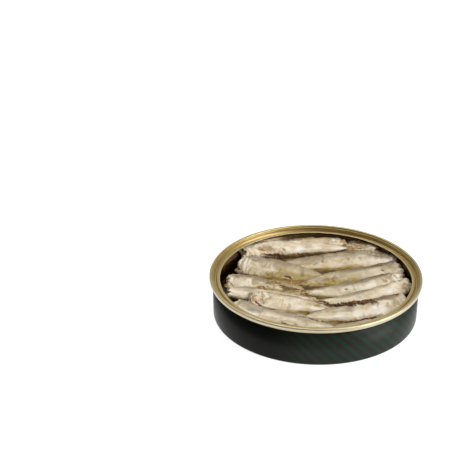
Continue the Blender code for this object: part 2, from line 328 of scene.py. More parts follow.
class Nodes:
    """The node tree of a material or a world, with short ways to add, set and link nodes."""

    def __init__(self, owner, shader):
        owner.use_nodes = True
        self.material = owner
        self.tree = owner.node_tree
        self.shader = self.tree.nodes[shader]

    def put(self, node, inputs):
        """Sets a node's inputs, by name or number, to values, or links them to other nodes' outputs."""
        for key, value in inputs.items():
            if isinstance(value, bpy.types.NodeSocket):
                self.tree.links.new(value, node.inputs[key])
            else:
                node.inputs[key].default_value = value

    def shade(self, inputs):
        self.put(self.shader, inputs)

    def add(self, kind, inputs, **settings):
        """The outputs of a new node."""
        node = self.tree.nodes.new(kind)
        for name, value in settings.items():
            setattr(node, name, value)
        self.put(node, inputs)
        return node.outputs

    def math(self, operation, a, b=0.0):
        return self.add("ShaderNodeMath", {0: a, 1: b}, operation=operation)[0]

    def times(self, a, b):
        return self.math("MULTIPLY", a, b)

    def combine(self, x, y, z=0.0):
        return self.add("ShaderNodeCombineXYZ", {0: x, 1: y, 2: z})[0]

    def ramp(self, value, low, high, out_low=0.0, out_high=1.0):
        """value from low to high, smoothly mapped to out_low to out_high."""
        inputs = {0: value, 1: low, 2: high, 3: out_low, 4: out_high}
        return self.add("ShaderNodeMapRange", inputs, interpolation_type="SMOOTHSTEP")[0]

    def mix(self, factor, a, b):
        return self.add("ShaderNodeMix", {0: factor, 6: a, 7: b}, data_type="RGBA")[2]

    def place(self, scale=(1.0, 1.0, 1.0)):
        """Positions in the object, stretched by scale."""
        where = self.add("ShaderNodeTexCoord", {})["Object"]
        return self.add("ShaderNodeMapping", {"Vector": where, "Scale": scale})[0]

    def noise(self, scale, detail=3.0, vector=None):
        inputs = {"Vector": vector or self.place(), "Scale": scale, "Detail": detail}
        return self.add("ShaderNodeTexNoise", inputs)["Fac"]

    def attribute(self, name):
        return self.add("ShaderNodeAttribute", {}, attribute_name=name)["Fac"]

    def bump(self, height, strength, distance=0.2 * MM):
        inputs = {"Height": height, "Strength": strength, "Distance": distance}
        self.shade({"Normal": self.add("ShaderNodeBump", inputs)["Normal"]})


def new_material(name):
    return Nodes(bpy.data.materials.new(name), "Principled BSDF")


def around_axis(nodes):
    """The angle round the tin's axis, and the place in the tin as x, y and height."""
    x, y, height = nodes.add("ShaderNodeSeparateXYZ", {0: nodes.place()})
    return nodes.math("ARCTAN2", y, x), x, y, height


def green_lacquer():
    """Dark green-black lacquer with soft diagonal stripes that fade out towards the front left, where it is
    painted darker as painted shade.
    """
    nodes = new_material("green_lacquer")
    angle, _, _, height = around_axis(nodes)
    leaned = nodes.math("ADD", angle, nodes.times(height, STRIPE_LEAN))
    wide = nodes.ramp(nodes.math("SINE", nodes.times(leaned, STRIPES)), -0.5, 0.6)
    deep = nodes.ramp(nodes.math("SINE", nodes.times(leaned, STRIPES / 2.0)), -1.0, 1.0, 0.7, 1.0)
    # Painted shade: towards the front left the lacquer darkens and loses its stripes.
    facing = nodes.math("COSINE", nodes.math("SUBTRACT", angle, SHADED_ANGLE))
    shown = nodes.ramp(facing, 0.99, 0.72)
    amount = nodes.times(nodes.times(wide, deep), shown)
    cloud = nodes.noise(55.0, 4.0)
    ground = nodes.mix(cloud, srgb(38, 36, 29), srgb(44, 42, 35))
    painted_shade_lacquer = nodes.mix(cloud, srgb(14, 17, 12), srgb(19, 21, 15))
    striped = nodes.mix(amount, ground, srgb(30, 53, 43))
    nodes.shade({
        "Base Color": nodes.mix(shown, painted_shade_lacquer, striped),
        "Roughness": nodes.ramp(nodes.noise(900.0), 0.3, 0.7, 0.27, 0.37),
        "Specular IOR Level": 0.13,
    })
    nodes.bump(nodes.noise(260.0, 2.0), 0.12)
    return nodes.material


def gold_lacquer():
    """Steel under gold lacquer, with the fine lines that rolling leaves round the rim, and a painted
    highlight along the lid's torn edge.
    """
    nodes = new_material("gold_lacquer")
    angle, x, y, height = around_axis(nodes)
    radius = nodes.math("SQRT", nodes.math("ADD", nodes.times(x, x), nodes.times(y, y)))
    across, up = nodes.times(radius, RIM_LINES), nodes.times(height, RIM_LINES)
    lines = nodes.noise(1.0, 3.0, nodes.combine(across, up, nodes.times(angle, 4.0)))
    cloud = nodes.noise(120.0)
    deep = nodes.mix(cloud, srgb(168, 142, 72), srgb(196, 172, 104))
    pale = nodes.mix(cloud, srgb(196, 186, 150), srgb(212, 203, 172))
    outside = nodes.ramp(radius, RIM_RADIUS - 1.2 * MM, RIM_RADIUS - 0.6 * MM)
    colour = nodes.mix(outside, deep, pale)
    colour = nodes.mix(nodes.ramp(lines, 0.35, 0.7, 0.0, 0.5), colour, srgb(150, 122, 62))
    # Painted highlight: the lid's torn edge is painted paler.
    torn_edge_highlight = nodes.ramp(radius, LIP_RADIUS + 0.5 * MM, LIP_RADIUS + 0.2 * MM)
    nodes.shade({
        "Base Color": nodes.mix(torn_edge_highlight, colour, srgb(206, 192, 154)),
        "Metallic": 1.0,
        "Roughness": nodes.ramp(lines, 0.3, 0.7, 0.4, 0.54),
        "Coat Weight": 0.8,
        "Coat IOR": 1.8,
        "Coat Roughness": 0.28,
    })
    nodes.bump(lines, 0.25, 0.1 * MM)
    return nodes.material


def inside_lacquer():
    """The can's inside: gold-brown lacquer, wet with oil, with painted light that makes it paler towards the
    right.
    """
    nodes = new_material("inside_lacquer")
    smear = nodes.noise(90.0, 4.0, nodes.place((1.0, 1.0, 2.5)))
    lacquer = nodes.mix(smear, srgb(104, 78, 40), srgb(156, 126, 76))
    # Painted light: paler towards the right of the tin, where light falls on the inner wall.
    painted_light_right = nodes.ramp(nodes.math("COSINE", around_axis(nodes)[0]), 0.4, 0.85)
    nodes.shade({
        "Base Color": nodes.mix(painted_light_right, lacquer, srgb(206, 172, 118)),
        "Metallic": 0.45,
        "Roughness": nodes.ramp(smear, 0.3, 0.7, 0.16, 0.34),
        "Coat Weight": 0.5,
        "Coat Roughness": 0.06,
    })
    return nodes.material


def oil_liquid():
    """Yellow oil: clear at the top, darker with depth."""
    nodes = new_material("oil_liquid")
    nodes.shade({
        "Base Color": WHITE,
        "Roughness": 0.03,
        "IOR": 1.47,
        "Transmission Weight": 1.0,
        "Specular Tint": (0.55, 0.4, 0.2, 1.0),
    })
    absorb = nodes.add("ShaderNodeVolumeAbsorption", {"Color": (0.86, 0.66, 0.12, 1.0), "Density": 210.0})
    nodes.put(nodes.tree.nodes["Material Output"], {"Volume": absorb[0]})
    return nodes.material


def lengthwise(nodes, along_scale, across_scale, detail):
    """Noise drawn out lengthwise along a fish, from its attributes of places along and across it in metres.
    """
    along = nodes.times(nodes.attribute("along"), along_scale)
    across = nodes.times(nodes.attribute("across"), across_scale)
    return nodes.noise(1.0, detail, nodes.combine(along, across))


def fish_skin():
    """Cooked fish: cream flank, grey back, golden belly, torn pink-brown flesh and dark brown gut, with
    painted highlights and painted shade.
    """
    nodes = new_material("fish_skin")
    mix, ramp, attribute = nodes.mix, nodes.ramp, nodes.attribute
    broad = nodes.noise(140.0, 4.0)
    fine = nodes.noise(420.0)
    silk = lengthwise(nodes, 110.0, 1000.0, 4.0)
    lines = lengthwise(nodes, 260.0, 2400.0, 3.0)
    # The streak mask holds dark lengthwise streaks and painted shade.
    streaks_and_shade = attribute("streak")

    cream = mix(ramp(broad, 0.3, 0.7), srgb(198, 182, 142), srgb(240, 228, 203))
    layers = [
        (ramp(silk, 0.45, 0.7, 0.0, 0.6), srgb(200, 178, 138)),
        (ramp(lines, 0.5, 0.7, 0.0, 0.35), srgb(250, 242, 228)),
        (attribute("peel"), srgb(218, 194, 156)),
        (ramp(streaks_and_shade, 0.15, 0.9, 0.0, 0.8), srgb(166, 144, 98)),
        # Painted highlight, from the pale mask.
        (attribute("pale"), srgb(246, 238, 225)),
        (ramp(nodes.noise(95.0, 2.0), 0.58, 0.74, 0.0, 0.4), srgb(236, 203, 166)),
    ]
    for share, colour in layers:
        cream = mix(share, cream, colour)
    stain = mix(ramp(silk, 0.2, 0.8), srgb(118, 94, 28), srgb(176, 148, 60))
    stain = mix(ramp(broad, 0.4, 0.7, 0.0, 0.45), stain, srgb(176, 150, 74))
    stain = mix(ramp(streaks_and_shade, 0.1, 0.9, 0.0, 0.75), stain, srgb(112, 88, 36))
    grey = mix(ramp(silk, 0.35, 0.65), srgb(122, 105, 78), srgb(164, 147, 118))
    grey = mix(ramp(lines, 0.5, 0.68, 0.0, 0.5), grey, srgb(104, 86, 66))
    meat = mix(ramp(nodes.noise(250.0, 2.0), 0.35, 0.65), srgb(170, 138, 98), srgb(222, 200, 166))
    brown = mix(ramp(fine, 0.35, 0.65), srgb(46, 24, 12), srgb(128, 80, 42))
    skin = cream
    for name, colour in (("gold", stain), ("back", grey), ("flesh", meat), ("gut", brown)):
        skin = mix(attribute(name), skin, colour)
    # Painted shade, laid on by the deep mask.
    shadow = mix(fine, srgb(66, 44, 22), srgb(112, 84, 46))
    nodes.shade({
        "Base Color": mix(ramp(attribute("deep"), 0.0, 1.0, 0.0, 0.92), skin, shadow),
        "Roughness": ramp(broad, 0.3, 0.7, 0.34, 0.5),
        "Coat Weight": 0.14,
        "Coat Roughness": 0.2,
        "Subsurface Weight": 0.12,
        "Subsurface Radius": (1.0, 0.6, 0.35),
        "Subsurface Scale": 1.2 * MM,
    })
    nodes.bump(nodes.math("ADD", lines, nodes.times(nodes.noise(1700.0, 2.0), 0.4)), 0.25)
    return nodes.material


def bit_material(name):
    """Moist brown or pale flesh or skin, for what lies loose."""
    dark, light, fineness = BIT_COLOURS[name]
    nodes = new_material(name)
    mottle = nodes.ramp(nodes.noise(fineness, 4.0), 0.35, 0.65)
    nodes.shade({
        "Base Color": nodes.mix(mottle, srgb(*dark), srgb(*light)),
        "Roughness": 0.45,
        "Specular IOR Level": 0.2,
        "Coat Weight": 0.08,
        "Coat Roughness": 0.2,
    })
    nodes.bump(nodes.noise(1500.0, 2.0), 0.3)
    return nodes.material


def plain_floor():
    nodes = new_material("plain_floor")
    nodes.shade({
        "Base Color": (0.3, 0.3, 0.3, 1.0),
        "Roughness": 0.9,
        "Specular IOR Level": 0.0,
        "Emission Color": WHITE,
        "Emission Strength": 0.93,
    })
    return nodes.material


# Shapes


def place_mesh(name, mesh, *materials):
    mesh.shade_smooth()
    for material in materials:
        mesh.materials.append(material)
    piece = bpy.data.objects.new(name, mesh)
    bpy.context.scene.collection.objects.link(piece)
    return piece


def closed_mesh(name, points, faces):
    """A mesh without loose points, with its faces turned to one side."""
    mesh = bpy.data.meshes.new(name)
    mesh.from_pydata(points, [], faces)
    bm = bmesh.new()
    bm.from_mesh(mesh)
    bmesh.ops.delete(bm, geom=[vert for vert in bm.verts if not vert.link_faces], context="VERTS")
    bmesh.ops.recalc_face_normals(bm, faces=bm.faces)
    bm.to_mesh(mesh)
    bm.free()
    return mesh


def arc(centre, radius, start, end, steps):
    """Points of a profile along an arc, from one angle in degrees to another."""
    angles = [math.radians(start + (end - start) * i / steps) for i in range(steps + 1)]
    return [(centre[0] + radius * math.cos(a), centre[1] + radius * math.sin(a)) for a in angles]


def softened(points, reach, steps=3):
    """A closed profile with its corners rounded by short curves."""
    result = []
    for i, here in enumerate(points):
        before = Vector(points[i - 1])
        after = Vector(points[(i + 1) % len(points)])
        corner = Vector(here)
        first = min(reach, 0.45 * (before - corner).length)
        last = min(reach, 0.45 * (after - corner).length)
        start = corner + (before - corner).normalized() * first
        end = corner + (after - corner).normalized() * last
        for k in range(steps + 1):
            t = k / steps
            result.append(tuple(start * (1 - t) ** 2 + corner * 2 * t * (1 - t) + end * t**2))
    return result


def turned(name, profile, closed, materials, pick=None):
    """A turned piece from a profile of (radius, height) points. pick gives a face's material slot."""
    bm = bmesh.new()
    rows = []
    for radius, height in profile:
        steps = TURN_STEPS if radius > 0.0 else 1
        angles = [math.tau * i / TURN_STEPS for i in range(steps)]
        rows.append([bm.verts.new((radius * math.cos(a), radius * math.sin(a), height)) for a in angles])
    if closed:
        rows.append(rows[0])
    for above, below in zip(rows, rows[1:]):
        for i in range(TURN_STEPS):
            ends = [(above, i), (above, i + 1), (below, i + 1), (below, i)]
            corners = list(dict.fromkeys(row[place % len(row)] for row, place in ends))
            if len(corners) > 2:
                bm.faces.new(corners)
    bmesh.ops.recalc_face_normals(bm, faces=bm.faces)
    if pick:
        for face in bm.faces:
            face.material_index = pick(face.calc_center_median(), face.normal)
    mesh = bpy.data.meshes.new(name)
    bm.to_mesh(mesh)
    bm.free()
    return place_mesh(name, mesh, *materials)


def wall_radius(height):
    """The can's outer radius at a height above the corner."""
    share = (height - CORNER_RADIUS) / (WALL_TOP - CORNER_RADIUS)
    return WALL_RADIUS_LOW + (WALL_RADIUS_HIGH - WALL_RADIUS_LOW) * share


def stand_for(piece, node):
    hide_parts(node)
    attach(piece, "root")


def build_can(outside, inside):
    """The can's wall and base, with lacquer outside and a darker, oily lacquer inside."""
    inner_floor = PANEL_RISE + SHEET
    ring_floor = PANEL_RISE + PANEL_RING_DEPTH
    profile = [(0.0, inner_floor), (PANEL_RADIUS, inner_floor), (FOOT_RADIUS, SHEET)]
    profile += arc(CORNER_CENTRE, CORNER_RADIUS - SHEET, -90, 0, BEND_STEPS)
    profile += [(WALL_RADIUS_HIGH - SHEET, WALL_TOP), (WALL_RADIUS_HIGH, WALL_TOP)]
    profile += arc(CORNER_CENTRE, CORNER_RADIUS, 0, -90, BEND_STEPS)
    profile += [(FOOT_RADIUS, 0.0), (PANEL_RADIUS, PANEL_RISE), (PANEL_RING_RADIUS, PANEL_RISE)]
    profile += [(PANEL_RING_RADIUS - PANEL_RING_WIDTH, ring_floor), (0.0, ring_floor)]

    def pick(centre, normal):
        outward = Vector((centre.x, centre.y, 0.0)).normalized()
        return 0 if normal.dot(outward) > 0.3 or normal.z < -0.3 else 1

    can = turned("tin_can", profile, False, [outside, inside], pick)
    stand_for(can, "can_body")


def build_rim(gold):
    """The folded rim with rounded bends, its groove, and the thin lip left by the lid."""
    inner = (SEAM_INNER_RADIUS + SEAM_INNER_BEND, HEIGHT - SEAM_INNER_BEND)
    outer = (RIM_RADIUS - SEAM_BEND, HEIGHT - SEAM_BEND)
    lip_bottom = LIP_TOP - SHEET
    hook = WALL_RADIUS_HIGH + 0.05 * MM
    points = [(LIP_RADIUS, lip_bottom), (LIP_RADIUS, LIP_TOP), (LIP_OUTER_RADIUS, LIP_TOP)]
    points.append((GROOVE_RADIUS - 0.45 * MM, GROOVE_BOTTOM + 0.1 * MM))
    points.append((GROOVE_RADIUS + 0.35 * MM, GROOVE_BOTTOM))
    points += arc(inner, SEAM_INNER_BEND, 180, 90, SMALL_BEND_STEPS)
    points += arc(outer, SEAM_BEND, 90, 0, BEND_STEPS)
    for inset, rise in ((0.0, 0.95), (0.18, 0.7), (0.1, 0.45), (0.4, 0.0)):
        points.append((RIM_RADIUS - inset * MM, SEAM_SKIRT + rise * MM))
    points += [(hook, SEAM_SKIRT), (hook, HOOK_TOP), (HOOK_RADIUS, HOOK_TOP)]
    points += [(GROOVE_OUTER_RADIUS, GROOVE_BOTTOM), (GROOVE_RADIUS, GROOVE_BOTTOM - SHEET)]
    points.append((GROOVE_RADIUS - 0.8 * MM, GROOVE_BOTTOM - 0.1 * MM))
    points.append((LIP_OUTER_RADIUS - 0.2 * MM, lip_bottom))
    rim = turned("tin_rim", softened(points, 0.25 * MM), True, [gold])
    stand_for(rim, "seam_ring")


def build_oil(liquid):
    """The oil, just into the wall, with a low swell at the wall."""
    reach = wall_radius(OIL_LEVEL) - 0.5 * SHEET
    bottom = 0.5 * SHEET
    swell = 0.35 * MM
    profile = [(0.0, OIL_LEVEL)]
    for share in (0.9, 0.96, 0.98, 0.99, 1.0):
        lift = swell * max(0.0, (share - 0.95) / 0.05) ** 2
        profile.append((reach * share, OIL_LEVEL + lift))
    profile += arc(CORNER_CENTRE, CORNER_RADIUS - bottom, 0, -90, SMALL_BEND_STEPS)
    profile += [(FOOT_RADIUS, bottom), (PANEL_RADIUS, PANEL_RISE + bottom), (0.0, PANEL_RISE + bottom)]
    oil = turned("oil_pool", profile, False, [liquid])
    stand_for(oil, "oil")


# Fish


def ease(t):
    t = np.clip(t, 0.0, 1.0)
    return t * t * (3.0 - 2.0 * t)


def cell_value(x, y, z, seed):
    """A repeatable value from -1 to 1 for each whole cell."""
    h = x * 374761393 + y * 668265263 + z * 1274126177 + seed * 974634777
    h = (h ^ (h >> 13)) * 1103515245
    h = (h ^ (h >> 16)) & 0xFFFFFF
    return h / float(0xFFFFFF) * 2.0 - 1.0


def noise(points, size, seed=0):
    """Smooth noise from -1 to 1 at points, with bumps of the given size."""
    cell = np.floor(points / size).astype(np.int64)
    a, b, c = np.moveaxis(ease(points / size - cell), -1, 0)
    x, y, z = np.moveaxis(cell, -1, 0)
    total = 0.0
    for dx, dy, dz in product((0, 1), repeat=3):
        weight = (a if dx else 1 - a) * (b if dy else 1 - b) * (c if dz else 1 - c)
        total = total + weight * cell_value(x + dx, y + dy, z + dz, seed)
    return total


def spline(knots, u):
    """Points and directions at shares u along a smooth curve through the plan knots, in metres."""
    spans = len(knots) - 1
    knots = np.array([knots[0], *knots, knots[-1]], float) * MM
    span = np.minimum((u * spans).astype(int), spans - 1)
    t = (u * spans - span)[:, None]
    a, b, c, d = (knots[span + i] for i in range(4))
    point = 0.5 * (2 * b + (c - a) * t + (2 * a - 5 * b + 4 * c - d) * t**2 + (3 * b - a - 3 * c + d) * t**3)
    slope = 0.5 * ((c - a) + 2 * (2 * a - 5 * b + 4 * c - d) * t + 3 * (3 * b - a - 3 * c + d) * t**2)
    return point, slope / np.linalg.norm(slope, axis=1)[:, None]


def sideways(along):
    return np.stack([-along[:, 1], along[:, 0]], 1)


def body_share(u):
    """How thick a fish is at share u of its length, against its thickest place."""
    front = CUT_END_SHARE + (1.0 - CUT_END_SHARE) * ease(u / 0.25)
    taper = np.maximum(u - TAPER_START, 0.0) / (1.0 - TAPER_START)
    return front * (1.0 - (1.0 - TAIL_SHARE) * taper**TAPER_POWER)


def rotated(x, y, angle):
    return x * math.cos(angle) - y * math.sin(angle), x * math.sin(angle) + y * math.cos(angle)


def signed_power(value, power):
    return np.sign(value) * np.abs(value) ** power


def side_angles():
    """Angles round a fish, from its back edge over its top to its belly, closer together where it shows."""
    even = math.tau * np.arange(SIDES) / SIDES
    return even - SHOWN_CROWDING * np.sin(even - SHOWN_ANGLE)


def fish_surface(fish, seed):
    """The grid of points of one fish, rings by sides, before relief, with its measures."""
    half_width = (fish.half_width + PLUMP) * MM
    half_depth = (fish.half_depth + 0.3 * PLUMP) * MM
    lean = math.radians(fish.lean)
    length = np.linalg.norm(np.diff(fish.knots, axis=0), axis=1).sum() * MM
    u = 0.5 - 0.5 * np.cos(math.pi * np.linspace(RING_CROWDING, 1.0 - RING_CROWDING, RINGS))
    u = (u - u[0]) / (u[-1] - u[0])
    point, along = spline(fish.knots, u)
    side = sideways(along)
    side *= np.sign(side[:, 1])[:, None]
    from_cut = np.minimum(u * length / (CUT_ROUNDING * MM), 1.0)
    from_tail = np.minimum((1.0 - u) * length / (TAIL_POINT * MM), 1.0)
    ends = (0.55 + 0.45 * np.sqrt(1.0 - (1.0 - from_cut) ** 2)) * (0.12 + 0.88 * from_tail**0.6)
    wave = 1.0 + WAVE_SHARE * np.sin(math.tau * WAVE_COUNT * u + 0.37 * fish.knots[0][0])
    scale = body_share(u) * ends
    width = half_width * scale * wave
    depth = half_depth * scale
    crest = (fish.crests[0] + (fish.crests[1] - fish.crests[0]) * ease(u)) * MM
    centre = crest - half_depth * body_share(u)
    angle = side_angles()
    across = width[:, None] * signed_power(np.cos(angle), 2.0 / SQUARENESS)[None]
    up = depth[:, None] * signed_power(np.sin(angle), 2.0 / SQUARENESS)[None]
    up = up * (1.0 + BACK_THICKER * np.cos(angle))[None]
    leaned_across, leaned_up = rotated(across, up, lean)
    grid = np.empty((RINGS, SIDES, 3))
    grid[..., :2] = point[:, None] + side[:, None] * leaned_across[..., None]
    grid[..., 2] = centre[:, None] + leaned_up
    circle = np.stack([np.cos(angle) * 3.0, np.sin(angle) * 3.0, angle * 0 + seed], 1)
    ragged = noise(circle, 0.9, seed) + 0.7 * noise(circle, 0.4, seed + 1)
    near_cut = np.clip(1.0 - u * length / (CUT_RAGGED_LENGTH * MM), 0.0, 1.0)
    shift = near_cut[:, None] * ragged[None] * CUT_RAGGED * MM
    grid[..., :2] += along[:, None] * shift[..., None]
    return inside_wall(grid, FISH_GAP), u, angle, length, along


def inside_wall(points, gap):
    """The points, with those that are too close to the can's wall or past it moved in."""
    radius = np.maximum(np.hypot(points[..., 0], points[..., 1]), 1.0 * MM)
    most = wall_radius(points[..., 2]) - SHEET - gap
    points = points.copy()
    points[..., :2] *= np.minimum(1.0, most / radius)[..., None]
    return points


def normals_of(grid):
    """Outward normals of the grid, which is closed round its second axis."""
    normal = np.cross(np.gradient(grid, axis=0), np.roll(grid, -1, axis=1) - np.roll(grid, 1, axis=1))
    normal /= np.maximum(np.linalg.norm(normal, axis=2), 1e-12)[..., None]
    centre = grid.mean(axis=1)[:, None]
    if ((grid - centre) * normal).sum() < 0:
        normal = -normal
    return normal


def mark_share(grid, mark, seed):
    """How much a mark covers each point, 0 to 1, with an uneven edge."""
    kind, x, y, half_length, half_width, turn = mark
    dx, dy = rotated(grid[..., 0] / MM - x, grid[..., 1] / MM - y, -math.radians(turn))
    a = dx / half_length
    b = dy / half_width
    edge = noise(grid, 1.6 * MM, seed) * 0.35 + noise(grid, 0.6 * MM, seed + 7) * 0.25
    softness = 1.3 if kind in ("pale", "gold") else 0.35
    return ease((1.15 - np.sqrt(a * a + b * b) + edge) / softness)


def marks_on(grid, normal, seed):
    """How much each kind of mark covers each point that faces up."""
    upward = ease(2.0 * np.clip(normal[..., 2] + 0.35, 0.0, 1.0))
    cover = {kind: np.zeros(upward.shape) for kind in ("torn", "slit", "gut", "gold", "pale")}
    for k, mark in enumerate(MARKS):
        share = mark_share(grid, mark, seed * 31 + k) * upward
        cover[mark[0]] = np.maximum(cover[mark[0]], share)
    return cover


def shape_skin(fish, seed):
    """One fish's points with folds, scales, teeth along the belly, tears and slits, and its colour masks,
    among them painted highlights and painted shade.
    """
    golden = min(fish.golden + 0.15, 1.0)
    grid, u, angle, length, along = fish_surface(fish, seed)
    normal = normals_of(grid)
    u = np.repeat(u[:, None], SIDES, 1)
    s = u * length
    around = np.repeat((angle % math.tau)[None], RINGS, 0)
    from_back = np.where(around > math.pi, around - math.tau, around)
    cover = marks_on(grid, normal, seed)

    def bumps(size, number=0):
        return noise(grid, size * MM, seed + number)

    circle = np.stack([np.cos(around), np.sin(around)], 2)
    long_place = np.dstack([s / 14.0, circle * 4.0 * MM])
    leaning = s + 0.5 * MM * (around - 2.0) + 1.6 * MM * bumps(3.5, 30)
    fold_place = np.dstack([leaning, circle * 3.2 * MM])
    near_cut = np.clip(1.0 - s / (CRUMPLED_LENGTH * MM), 0.0, 1.0) * ease((fish.half_width - 6.0) / 1.5)

    patch = ease(bumps(9, 2) * 1.4 + 0.1 + 0.9 * near_cut)
    fold = noise(fold_place, 1.5 * MM, seed + 4)
    crease = ease(1.0 - np.abs(noise(fold_place, 2.2 * MM, seed + 40)) / 0.13) * patch
    peel = ease((bumps(6.5, 41) + 0.55 * bumps(2.0, 42) - 0.3) / 0.12)
    streak = noise(long_place, 0.8 * MM, seed + 13)
    back_edge = ease(1.0 - np.abs(from_back - FOLD_ANGLE) / 0.6)
    belly_edge = ease(1.0 - np.abs(around - BELLY_ANGLE) / 0.35) * (0.5 + 0.5 * bumps(5.0, 46))
    tooth = np.abs((s / (TOOTH_LENGTH * MM) + 0.8 * bumps(4.0, 43)) % 1.0 - 0.5) * 2.0
    cut = ease((2.2 * MM - s + bumps(1.2, 3) * 0.9 * MM) / (1.6 * MM))
    raw = np.maximum(cover["torn"], np.maximum(cover["gut"], cut))

    relief = 0.44 * bumps(8) + 0.28 * bumps(3.5, 1)
    relief += (0.16 * patch + 0.34 * near_cut) * fold - 0.26 * crease - 0.16 * peel
    relief += 0.2 * back_edge * bumps(1.5, 44)
    relief += 0.18 * belly_edge * (tooth - 0.5)
    relief += 0.12 * noise(long_place, 0.8 * MM, seed + 5) + 0.1 * bumps(0.9, 6)
    relief -= 0.45 * cover["torn"] + 0.4 * cover["gut"] + 0.35 * cover["slit"]
    relief += raw * (0.2 * bumps(1.6, 8) + 0.12 * bumps(0.7, 9))
    slim = np.clip(body_share(u) * 1.3, 0.25, 1.0) * ease(0.15 + (length - s) / (4.0 * MM))
    grid = grid + normal * (relief * slim * MM)[..., None]

    drift = 0.35 * bumps(7, 11) + 0.18 * bumps(2.2, 12)
    back = ease((fish.back + 0.5 * drift + 0.16 * streak - from_back) / 0.4)
    back = back * ease((from_back + 1.4) / 0.5) * (0.85 + 0.3 * bumps(7, 14))
    back = back * (1.0 - 0.45 * golden * ease((u - 0.4) / 0.3))
    back = back * ease(0.15 + s / (11.0 * MM)) * (1.0 - 0.85 * cover["pale"])
    belly_start = 2.3 - 0.95 * golden
    belly = ease((around - belly_start + 0.5 * drift + 0.2 * streak) / 0.7) * (around < UNDER_ANGLE)
    gold = belly * (0.55 + 0.95 * golden) + golden * 0.6
    gold = gold * (0.85 + 0.35 * bumps(6, 15)) * (0.25 + 0.75 * ease((u - 0.25) / 0.3))
    low = ease((OIL_LEVEL + 1.6 * MM - grid[..., 2]) / (1.4 * MM))
    gold = np.maximum(np.maximum(gold * (1.0 - 0.9 * cover["pale"]), 0.8 * low), cover["gold"])
    # Painted highlight: paler along the crest that catches the light and on the ridges of folds; the pale
    # marks are silvery skin with a painted highlight.
    pale = ease(1.0 - np.abs(around - LIT_ANGLE) / 0.7) * ease(0.3 + bumps(5, 16))
    pale = pale * (1.0 - 0.5 * golden) + (0.5 * patch + 0.25 * near_cut) * ease(1.4 * fold) * (1.0 - back)
    pale = np.maximum(pale, 0.5 * cover["pale"])
    # The streak mask: dark lengthwise streaks, with painted shade in creases, in the hollows of folds and
    # towards the lower side.
    dark = 0.5 * ease(-streak * 1.3) + 0.35 * patch * ease(-fold * 1.2) + 0.75 * crease
    dark = dark + 0.7 * near_cut * ease(-1.6 * fold)
    dark = dark + 0.65 * ease((around - 2.25) / 0.8) * (around < UNDER_ANGLE) - 0.5 * cover["pale"]
    # Painted shade: the deep mask darkens each fish low on its sides and along the edge of its grey back.
    crest = grid[..., 2].max(axis=1)[:, None]
    thick = crest - grid[..., 2].min(axis=1)[:, None]
    bite = 0.1 * drift + 0.09 * bumps(1.3, 45)
    deep = ease(((crest - grid[..., 2]) / np.maximum(thick, 1.0 * MM) - 0.24 + bite) / 0.22)
    shade = ease((1.38 - from_back + 0.3 * drift) / 0.4) * ease((from_back + 0.4) / 0.5)
    deep = np.maximum(deep, 0.55 * shade * back)
    masks = {
        "back": back,
        "gold": gold,
        "pale": pale,
        "streak": dark,
        "peel": peel * (1.0 - 0.6 * back),
        "flesh": np.maximum(np.maximum(cover["torn"], 0.55 * cut), 0.8 * cover["slit"]),
        "gut": cover["gut"] + 0.3 * cover["slit"],
        "deep": deep,
        "along": s + OFFSET_STEP * seed,
        "across": ((around + 0.5 * math.pi) % math.tau) * fish.half_width * MM,
    }
    return grid, along, {name: np.clip(mask, 0.0, 1.0) for name, mask in masks.items()}


def close_end(grid, along, at_cut, seed):
    """Loops of points that close one end of a fish, from the outside in, and the last point."""
    end = 0 if at_cut else RINGS - 1
    rim = grid[end]
    middle = rim.mean(axis=0)
    outward = np.array([*(along[end] * (-1.0 if at_cut else 1.0)), 0.0])
    reach = np.linalg.norm(rim - middle, axis=1).mean() / (5 * MM)
    loops = []
    for k in range(1, CAP_RINGS):
        share = 1.0 - k / CAP_RINGS
        loop = middle + (rim - middle) * share
        lumps = noise(loop, 1.1 * MM, seed + 21) * (0.6 * MM if at_cut else 0.1 * MM)
        push = 0.9 * MM * (1.0 - share**2) * reach + lumps * (1.0 - share) ** 0.5
        loops.append(loop + outward * push[..., None])
    return loops, loops[-1].mean(axis=0)


def build_fish(name, fish, skin, seed):
    """One headless fish: its skin, a ragged cut end and a thin tail, as one closed mesh."""
    grid, along, masks = shape_skin(fish, seed)
    verts = [grid.reshape(-1, 3)]
    flat = {key: [mask.reshape(-1)] for key, mask in masks.items()}
    ring = np.arange(SIDES)
    following = np.roll(ring, -1)
    faces = []
    for i in range(RINGS - 1):
        a = i * SIDES
        b = a + SIDES
        faces += np.stack([a + ring, a + following, b + following, b + ring], 1).tolist()
    offset = RINGS * SIDES
    for at_cut in (True, False):
        end = 0 if at_cut else RINGS - 1
        loops, last = close_end(grid, along, at_cut, seed)
        before = end * SIDES + ring
        for k, loop in enumerate(loops):
            verts.append(loop)
            gut = 0.3 if k >= len(loops) - CUT_GUT_RINGS else 0.0
            for key, mask in masks.items():
                cut_value = {"flesh": 0.8, "gut": gut}.get(key, 0.0)
                flat[key].append(np.full(SIDES, cut_value) if at_cut else mask[end])
            now = offset + ring
            faces += np.stack([before, before[following], now[following], now], 1).tolist()
            before = now
            offset += SIDES
        verts.append(last[None])
        for key in masks:
            flat[key].append(flat[key][-1][:1])
        faces += [[before[i], before[following[i]], offset] for i in range(SIDES)]
        offset += 1
    mesh = closed_mesh(name, inside_wall(np.concatenate(verts), SKIN_GAP).tolist(), faces)
    for key, values in flat.items():
        attribute = mesh.attributes.new(key, "FLOAT", "POINT")
        attribute.data.foreach_set("value", np.concatenate(values).astype(np.float32))
    return place_mesh(name, mesh, skin)


